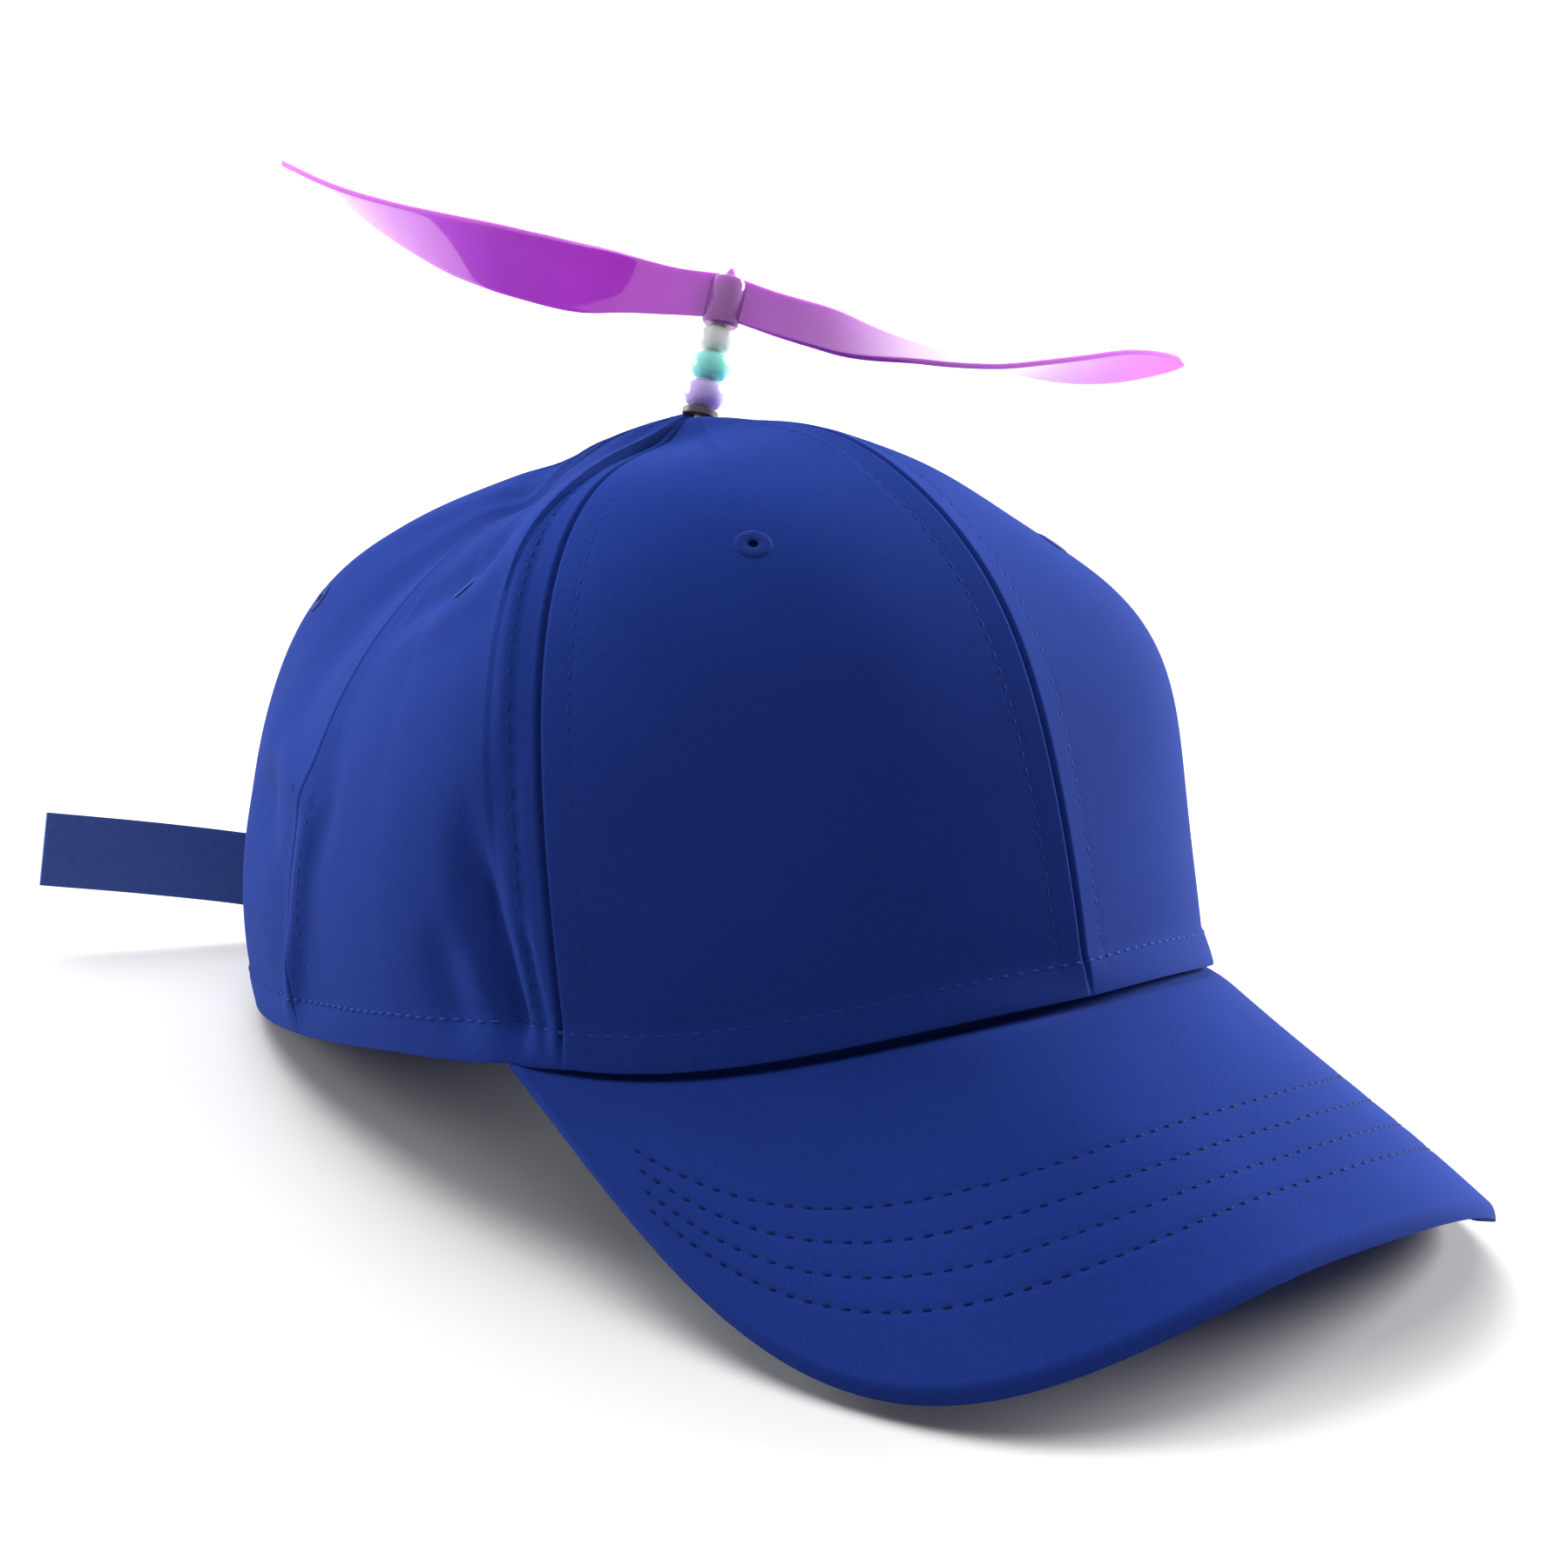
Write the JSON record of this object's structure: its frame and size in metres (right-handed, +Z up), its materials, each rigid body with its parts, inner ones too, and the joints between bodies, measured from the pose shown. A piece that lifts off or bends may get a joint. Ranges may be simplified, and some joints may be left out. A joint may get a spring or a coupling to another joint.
{
  "type": "propeller cap",
  "caption": "Panelled cloth cap with a curved brim, a half-moon back opening with a slide-buckle strap, and a bladed propeller that spins on a beaded stalk.",
  "frame": {"origin": "on the surface that the cap rests on, under the middle of the whole object", "axes": "+Z up from that surface, -Y towards the brim, +X towards the wearer's left"},
  "size_m": [0.1638, 0.2876, 0.1646],
  "materials": {
    "crown_cloth": "royal blue cotton twill",
    "brim_cloth": "royal blue cotton twill over a board",
    "webbing": "dull blue woven webbing",
    "buckle_brass": "dull antique brass",
    "pin_steel": "bare steel wire",
    "washer_plastic": "dark brown",
    "lavender_plastic": "glossy, lavender",
    "mint_plastic": "glossy, mint green",
    "white_plastic": "glossy, warm white",
    "purple_plastic": "glossy moulded purple"
  },
  "bodies": {
    "cap": {"crown_front_right": "crown_cloth", "crown_front_left": "crown_cloth", "crown_side_right": "crown_cloth", "crown_side_left": "crown_cloth", "crown_back_right": "crown_cloth", "crown_back_left": "crown_cloth", "brim": "brim_cloth", "back_strap": "webbing", "strap_tab": "webbing", "strap_buckle": "buckle_brass", "stalk_pin": "pin_steel", "stalk_washer": "washer_plastic", "bead_lavender": "lavender_plastic", "bead_mint": "mint_plastic", "bead_white": "white_plastic"},
    "propeller": {"propeller": "purple_plastic"}
  },
  "joints": [
    {"name": "propeller_spin", "type": "hinge", "parent": "cap", "child": "propeller", "pos_m": [0.00723, 0.03082, 0.1461], "axis": [0.3334, 0.1792, 0.9256], "continuous": true}
  ]
}
